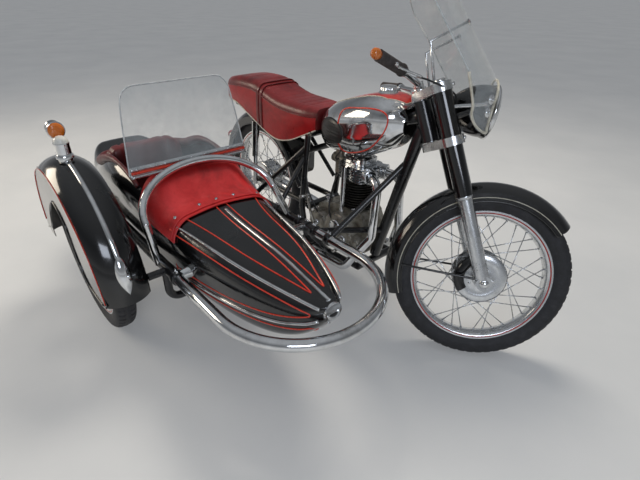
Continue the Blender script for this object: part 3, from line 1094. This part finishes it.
# Filler cap: rings whose radius dips by half a cosine at each flute, on the rows of the cap's wall
a = 2 * pi * np.arange(capShape["points"]) / capShape["points"]
cap = []
for along, radius in capShape["rows"]:
    depth = capShape["fluteDepth"] if capShape["fluted"][0] < along < capShape["fluted"][1] else 0
    flute = radius - depth * (0.5 + 0.5 * np.cos(capShape["flutes"] * a))
    cap.append(np.stack([capShape["x"] + flute * np.cos(a), flute * np.sin(a),
                         np.full(len(a), capShape["z"] + along)], 1))
addPiece("fillerCapFluted", surface(cap, False, True), "chromePlate", stands=("filler_cap",))
# Knee pads: a cushion edge t = thickness sqrt(1 - r^8) on the tank's flank, with moulded ribs inside it
padShape = {"centre": (628, 742), "half": (82, 55), "thickness": 8.5, "lift": -1.0, "rib": 1.5, "pitch": 13,
            "ribsTo": 0.8, "rings": 22, "points": 96}
pads = []
for side in (-1, 1):
    rings = []
    for reach in np.linspace(0.02, 1, padShape["rings"]):
        for a in np.linspace(0, 2 * pi, padShape["points"], endpoint=False):
            x = padShape["centre"][0] + padShape["half"][0] * reach * cos(a)
            z = padShape["centre"][1] + padShape["half"][1] * reach * sin(a)
            wave = abs(cos(pi * (z - padShape["centre"][1]) / padShape["pitch"]))
            rib = padShape["rib"] * wave ** 0.6 if reach < padShape["ribsTo"] else 0
            cushion = padShape["thickness"] * (1 - reach ** 8) ** 0.5
            rings.append(onTank(x, z, side, padShape["lift"] + cushion + rib))
    pads.append((np.array(rings), gridFaces(padShape["rings"], padShape["points"], False, True)))
addPiece("kneePadsRibbed", pads, "padRubber", stands=("knee_pads",))
print("lamps, bars and tank made")

# Handlebar screen: rays along the straightened fork find the sheet. Cream trim runs round the lower lobes,
# as (side, height) for the left one, and a clear edge above
screenTree = treeOf("bar_screen")
screenShape = {"from": 1500, "half": 203.5, "opening": 105.5, "sheet": 1.5,
               "lobe": [(105.5, 905), (105.5, 850), (110, 829), (138, 827.5), (176, 842), (198, 870),
                        (203.5, 905), (203.5, 990)],
               "upper": [(-203.5, 990), (-203.5, 1150), (-203, 1262), (-190, 1310), (-160, 1331),
                         (-110, 1335), (0, 1335), (110, 1335), (160, 1331), (190, 1310), (203, 1262),
                         (203.5, 1150), (203.5, 990)]}


def onScreen(side, z, lift=1.0):
    # None where the ray passes the sheet's outline
    start = Vector(placed([(screenShape["from"], side, z)], "fork")[0])
    way = Vector(steerTurn @ np.array((-1.0, 0, 0)))
    spot = screenTree.ray_cast(start, way)[0]
    if spot is None:
        return None
    straight = (np.array(spot) - steerPoint) @ steerTurn + steerPoint
    return (straight - origin) * 1000 + np.array((lift - screenShape["sheet"], 0, 0))


def screenLine(spots, radius, count):
    # A bead along spots of the sheet, leaving out those past its outline
    path = [onScreen(*spot) for spot in spots]
    return sweepTube(smoothPath([spot for spot in path if spot is not None], count), radius, 8)


opening = [(screenShape["opening"] * sin(a), headlamp["centre"][2] + screenShape["opening"] * cos(a))
           for a in np.linspace(-pi / 2, pi / 2, 15)]
lobes = [screenLine([(side * across, z) for across, z in screenShape["lobe"]], 4.2, 70) for side in (-1, 1)]
addPiece("screenTrim", lobes + [screenLine(opening, 4.2, 50)], "creamTrim", "fork")
addPiece("screenEdge", screenLine(screenShape["upper"], 2.6, 120), "acrylicEdge", "fork")
# Round plates with a bolt on each lobe, and a stay rod from the yoke to the middle of each side
plateShape = {"out": 140, "heights": (890, 930), "lift": 3,
              "section": [(-3, 16), (1, 16), (3, 13), (3, 0.01)]}
stayShape = {"out": 100, "foot": (1000, 945), "bend": (951, 1080), "top": 1150, "lift": -4, "radius": 5}
plates = []
for side in (-1, 1):
    facing = (0.83, side * 0.55, 0)
    for z in plateShape["heights"]:
        spot = onScreen(side * plateShape["out"], z, plateShape["lift"])
        plates.append(lathe(plateShape["section"], spot, facing, 24))
        plates.append(hexHead(spot + (2.4, side * 1.6, 0), facing, 6, 5))
    out = side * stayShape["out"]
    spot = onScreen(out, stayShape["top"], stayShape["lift"])
    rod = [(x, out, z) for x, z in (stayShape["foot"], stayShape["bend"])] + [spot]
    plates.append(sweepTube(rod, stayShape["radius"], 12))
    plates.append(roundHead(spot + (4, 0, 0), (0.8, 0, 0.6), 11, 5))
addPiece("screenPlates", plates, "polishedAlloy", "fork")

# Engine: side covers with their screws, as (x, face, z, radius, screws)
engine = {"x": 705, "coverRim": 7}
coverTable = [(700, -118, 290, 92, 12), (560, -112, 285, 60, 10), (795, -112, 262, 40, 8)]
covers, bolts, dark, bright = [], [], [], []


def boltRing(centre, radius, number, first, size, height):
    # Hexagon heads round a cover that faces right
    for k in range(number):
        angle = 2 * pi * k / number + first
        spot = (centre[0] + radius * cos(angle), centre[1], centre[2] + radius * sin(angle))
        bolts.append(hexHead(spot, (0, -1, 0), size, height))


for x, face, z, radius, screws in coverTable:
    covers.append(lathe([(-30, radius + 0.6), (-4, radius + 0.6), (3, radius - 5), (7, radius - 16),
                         (9, radius * 0.4), (9, 0.01)], (x, face, z), (0, -1, 0), 72))
    boltRing((x, face - 2.2, z), radius - engine["coverRim"], screws, 0.2, 4.4, 4.5)
# Round covers of the contact breaker and the oil pump
for x, y, z, radius in ((692, -127, 318, 34), (742, -125, 268, 22)):
    bright.append(lathe([(0, radius), (5, radius), (9, radius - 4), (11, radius * 0.55), (11, 0.01)],
                        (x, y, z), (0, -1, 0), 56))
    boltRing((x, y - 9, z), radius - engine["coverRim"], 3, 0.5, 3.6, 4)
# Filler neck and cap above the gearbox, and the crankcase's cap
bright.append(lathe([(0, 17), (16, 17), (20, 20), (27, 20), (30, 16), (30, 0.01)], (600, -78, 398),
                    (0, 0, 1), 40))
bright.append(lathe([(0, 13), (8, 13), (12, 9), (12, 0.01)], (742, -60, 398), (0, 0, 1), 32))
# Rocker box: a superellipse of 58 by 46 that closes in over its top, with cover nuts and inspection caps
rocker = {"half": (58, 46), "foot": 603, "rows": ((0, 0), (20, 0), (28, -6), (30, -16)), "power": 0.4}
a = np.linspace(0, 2 * pi, 48, endpoint=False)
box = [np.stack([engine["x"] + (rocker["half"][0] + grow) * rounded(np.cos(a), rocker["power"]),
                 (rocker["half"][1] + grow) * rounded(np.sin(a), rocker["power"]),
                 np.full(len(a), float(rocker["foot"] + level))], 1) for level, grow in rocker["rows"]]
bright.append(surface(box, False, True))
for ahead, out in ((-44, -32), (44, -32), (-44, 32), (44, 32), (0, -36), (0, 36)):
    bolts.append(hexHead((engine["x"] + ahead, out, 627), (0, 0, 1), 7, 7))
for side in (-1, 1):
    bright.append(lathe([(0, 22), (8, 22), (11, 18), (11, 0.01)], (engine["x"] + 6, side * 44, 600),
                        (0, side, 0), 40))
# Finned clamp on each exhaust port: six plates round the pipe
plate = [(0, 24), (0.4, 34), (2.2, 34), (2.6, 24)]
for side in (-1, 1):
    axis = np.array((56, side * 22, 0)) / np.hypot(56, 22)
    profile = [(k * 5 + along, radius) for k in range(6) for along, radius in plate]
    bright.append(lathe(profile, (engine["x"] + 86, side * 41, 575.0), axis, 48))
# Nuts at the barrel's base
for ahead, out in ((-52, -44), (52, -44), (-52, 44), (52, 44)):
    bolts.append(hexHead((engine["x"] + ahead, out, 399), (0, 0, 1), 8, 9))
# Oil and fuel lines and the breather hose
lineTable = [
    ([(640, -60, 650), (622, -72, 620), (604, -50, 596), (580, -12, 586)], 3.6),
    ([(705, -46, 604), (726, -72, 640), (760, -40, 690), (790, -20, 730)], 3.4),
    ([(668, -118, 330), (650, -126, 380), (636, -108, 440), (638, -84, 520), (652, -56, 575)], 4.2),
    ([(560, -112, 330), (540, -122, 370), (500, -126, 430), (470, -118, 500)], 4),
]
for path, radius in lineTable:
    dark.append(sweepTube(smoothPath(path, 40), radius, 10))
# Kick starter with its pedal, and the gear lever with its peg
kickArm = smoothPath([(560, -122, 285), (556, -140, 300), (540, -150, 360), (528, -152, 420)], 30)
gearArm = smoothPath([(600, -122, 262), (640, -140, 250), (700, -146, 232), (742, -148, 226)], 30)
pedals = [sweepTube(kickArm, 7, 12), sweepTube([(528, -146, 424), (520, -196, 424)], 8, 12),
          sweepTube(gearArm, 5.5, 12), sweepTube([(742, -142, 226), (742, -184, 226)], 7, 12)]
bright.append(lathe([(-6, 16), (0, 17), (12, 15), (12, 0.01)], (560, -120, 285), (0, -1, 0), 32))
for name, parts, finish in (("engineCovers", covers, "castAlloy"), ("engineBright", bright, "polishedAlloy"),
                            ("engineBolts", bolts, "spokeSteel"), ("engineLines", dark, "cableSheath"),
                            ("footLevers", pedals, "wornChrome")):
    addPiece(name, parts, finish)

# Steering: pinch bolts of both yokes, the nut on the stem, and a cap and a seal on each fork leg
fork = {"up": (-0.45399, 0, 0.89101), "ahead": (0.89, 0, 0.454), "stemTop": (973.3, 0, 906.8), "spread": 95,
        "nut": [(30, 24), (34, 26), (42, 26), (46, 20), (46, 0.01)],
        "cap": [(0, 20), (4, 22), (10, 22), (13, 17), (13, 0.01)],
        "seal": [(-8, 26.4), (-8, 29.5), (4, 30.5), (10, 28), (10, 26.4)]}


def onLeg(side, height):
    # A spot on a fork leg, height up it from the axle
    return np.array(frontAxle) + (0, side * fork["spread"], 0) + np.array(fork["up"]) * height


yokeBits = [lathe(fork["nut"], fork["stemTop"], fork["up"], 40)]
seals = []
for side in (-1, 1):
    for height in (525, 705):
        yokeBits.append(hexHead(onLeg(side, height) + (30, 0, 15.3), fork["ahead"], 7, 12))
    yokeBits.append(lathe(fork["cap"], onLeg(side, 720), fork["up"], 6))
    seals.append(lathe(fork["seal"], onLeg(side, 326), fork["up"], 40))
addPiece("yokeBits", yokeBits, "chromePlate", "fork")
addPiece("forkSeals", seals, "polishedAlloy", "fork")
print("engine and fork details made")

lowest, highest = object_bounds()
